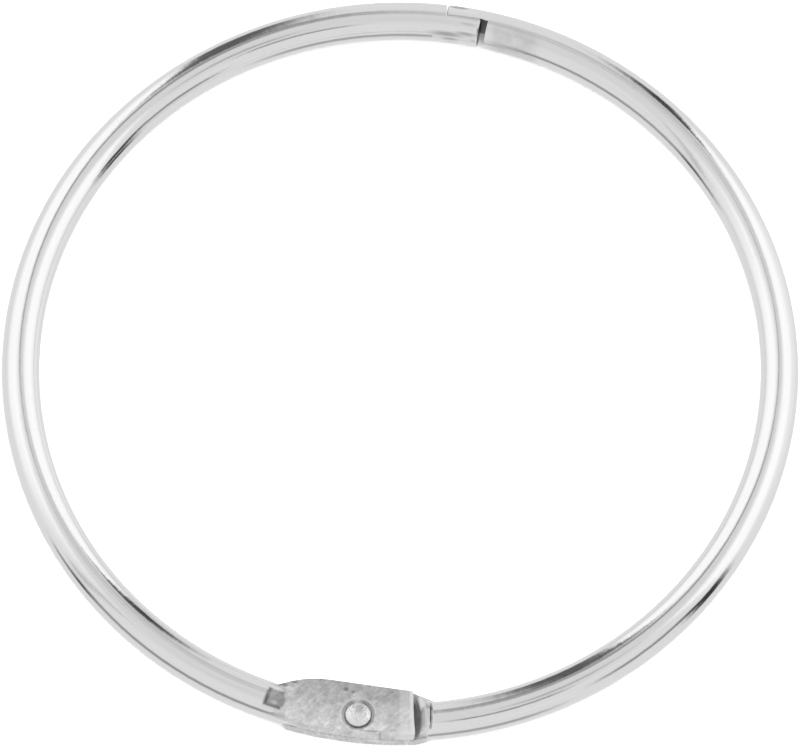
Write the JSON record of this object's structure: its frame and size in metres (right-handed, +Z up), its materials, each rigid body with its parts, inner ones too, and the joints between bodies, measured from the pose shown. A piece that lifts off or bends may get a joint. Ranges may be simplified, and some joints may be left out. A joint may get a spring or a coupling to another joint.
{
  "type": "binder ring",
  "caption": "Hinged loose-leaf binder ring of round plated wire, closed: two half rings riveted in a lap hinge, with hooked ends that snap together.",
  "frame": {"origin": "on the table under the centre of the closed ring; the ring lies flat on the plane z = 0", "axes": "+Z up, across the ring's thickness; the hinge is near -Y, the closure near +Y, and the half ring with the outer hook is on the +X side"},
  "size_m": [0.0842, 0.0842, 0.004],
  "materials": {
    "nickel_plate": "bright nickel plate on steel, dull and finely scratched on the pressed hinge plates",
    "rivet_plate": "nickel plate on steel, hammered at the peened end"
  },
  "bodies": {
    "left_side": {"left_half_ring": "nickel_plate", "hinge_rivet": "rivet_plate"},
    "right_side": {"right_half_ring": "nickel_plate"}
  },
  "joints": [
    {"name": "ring_hinge", "type": "hinge", "parent": "left_side", "child": "right_side", "pos_m": [-0.0044, -0.03986, 0.002], "axis": [0, 0, -1], "range_deg": [0, 150]}
  ]
}
